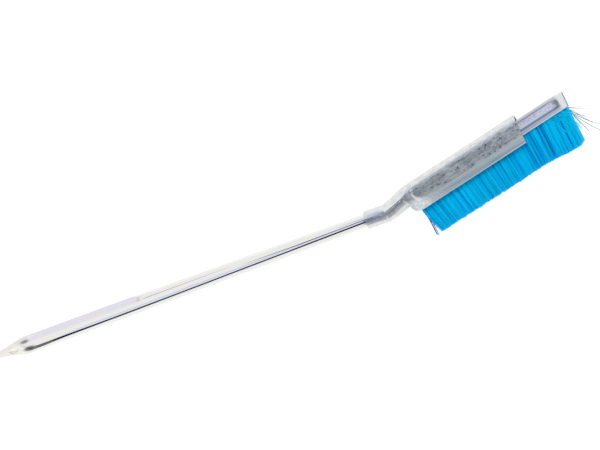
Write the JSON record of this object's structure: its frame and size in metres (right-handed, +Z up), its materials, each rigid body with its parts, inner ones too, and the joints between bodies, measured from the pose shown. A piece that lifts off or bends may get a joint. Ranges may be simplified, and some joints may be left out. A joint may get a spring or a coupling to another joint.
{
  "type": "crevice brush",
  "caption": "Long-handled strip brush for crevices: steel tube handle with a hanging hole, pressed holder, blue filaments",
  "frame": {"origin": "the middle of the brush's bounding box in X and Y, on the surface that it lies on", "axes": "+X runs along the handle from its tail to the head, the bristles point towards -Y, and +Z is up"},
  "size_m": [0.456, 0.0636, 0.016],
  "materials": {
    "polished_steel": "polished",
    "galvanised_steel": "galvanised, satin",
    "bright_steel": "bright rolled",
    "blue_nylon": "smooth filament"
  },
  "bodies": {
    "root": {"handle_tube": "polished_steel", "brush_holder": "galvanised_steel", "strip_channel": "bright_steel", "core_wire": "bright_steel", "bristles": "blue_nylon"}
  },
  "joints": []
}
